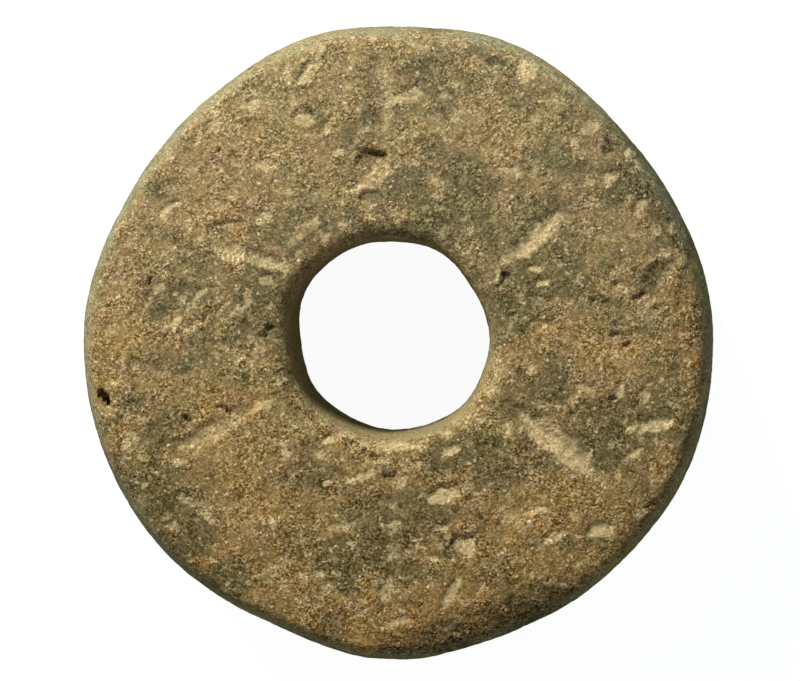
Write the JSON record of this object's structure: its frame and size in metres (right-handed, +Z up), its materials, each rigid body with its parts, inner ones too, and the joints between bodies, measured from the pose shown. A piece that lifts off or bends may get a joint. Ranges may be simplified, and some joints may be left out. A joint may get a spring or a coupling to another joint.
{
  "type": "clay spindle whorl",
  "caption": "Flat, slightly irregular ring of sandy fired clay with a round spindle hole and worn radial strokes on its upper face.",
  "frame": {"origin": "under the middle of the ring's outline, on the flat underside that it rests on", "axes": "+Z up along the spindle hole, out of the face with the strokes; +Y towards the long stroke that is at the top in the picture; +X to the picture's right"},
  "size_m": [0.0322, 0.0324, 0.0116],
  "materials": {
    "fired_clay": "unglazed sandy fired clay, olive-brown with grey, tan and ochre patches, gritty, worn and soiled, matt"
  },
  "bodies": {
    "root": {"whorl": "fired_clay"}
  },
  "joints": []
}
